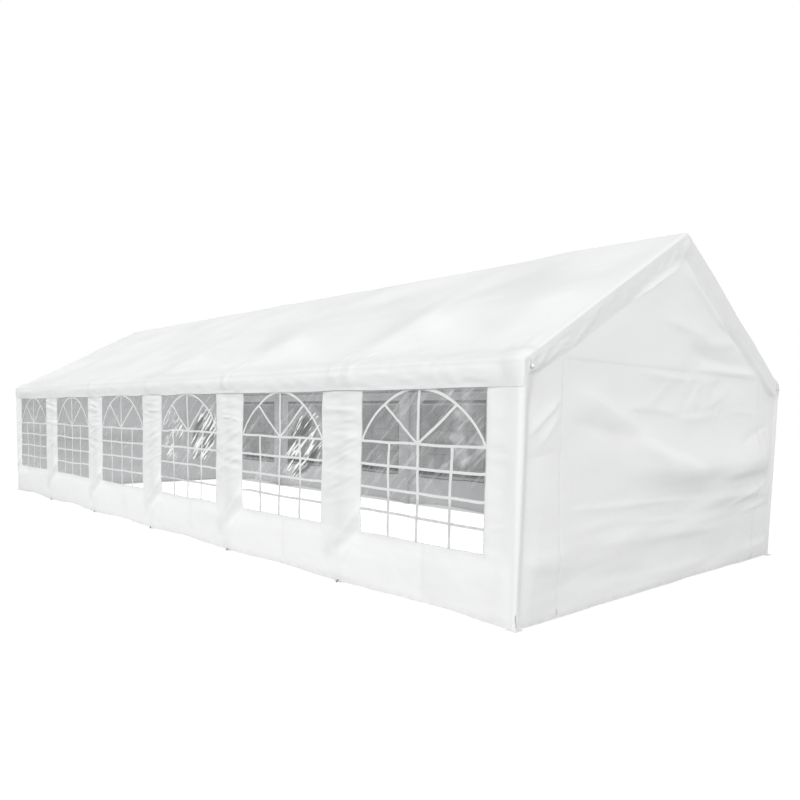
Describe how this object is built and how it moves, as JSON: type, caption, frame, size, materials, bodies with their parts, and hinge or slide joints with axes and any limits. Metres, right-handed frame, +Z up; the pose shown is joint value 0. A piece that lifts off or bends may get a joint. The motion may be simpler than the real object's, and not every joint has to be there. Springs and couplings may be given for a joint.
{
  "type": "marquee tent",
  "caption": "White frame marquee: steel tube bents and purlins under a pitched roof cover, with arched window walls along both sides and a wide zipped panel in each gable.",
  "frame": {"origin": "on the ground at the centre of the plan, midway between the gables and midway between the two rows of legs", "axes": "+X along the ridge towards one gable, +Y across the tent towards the back window wall, +Z up"},
  "size_m": [12.1, 5.1, 3.3631],
  "materials": {
    "white_sheet": "white coated polyethylene sheet with a slight sheen",
    "clear_film": "clear glossy film",
    "white_steel": "white powder coat"
  },
  "bodies": {
    "root": {"leg_front_1": "white_steel", "leg_front_2": "white_steel", "leg_front_3": "white_steel", "leg_front_4": "white_steel", "leg_front_5": "white_steel", "leg_front_6": "white_steel", "leg_front_7": "white_steel", "leg_back_1": "white_steel", "leg_back_2": "white_steel", "leg_back_3": "white_steel", "leg_back_4": "white_steel", "leg_back_5": "white_steel", "leg_back_6": "white_steel", "leg_back_7": "white_steel", "rafter_frame_1": "white_steel", "rafter_frame_2": "white_steel", "rafter_frame_3": "white_steel", "rafter_frame_4": "white_steel", "rafter_frame_5": "white_steel", "rafter_frame_6": "white_steel", "rafter_frame_7": "white_steel", "eave_purlin_front": "white_steel", "eave_purlin_back": "white_steel", "mid_purlin_front": "white_steel", "mid_purlin_back": "white_steel", "ridge_purlin": "white_steel", "roof_cover": "white_sheet", "front_wall": "white_sheet", "back_wall": "white_sheet", "gable_wall_left": "white_sheet", "gable_wall_right": "white_sheet", "gable_door_left": "white_sheet", "gable_door_right": "white_sheet", "window_front_1": "clear_film", "window_front_2": "clear_film", "window_front_3": "clear_film", "window_front_4": "clear_film", "window_front_5": "clear_film", "window_front_6": "clear_film", "window_back_1": "clear_film", "window_back_2": "clear_film", "window_back_3": "clear_film", "window_back_4": "clear_film", "window_back_5": "clear_film", "window_back_6": "clear_film"}
  },
  "joints": []
}
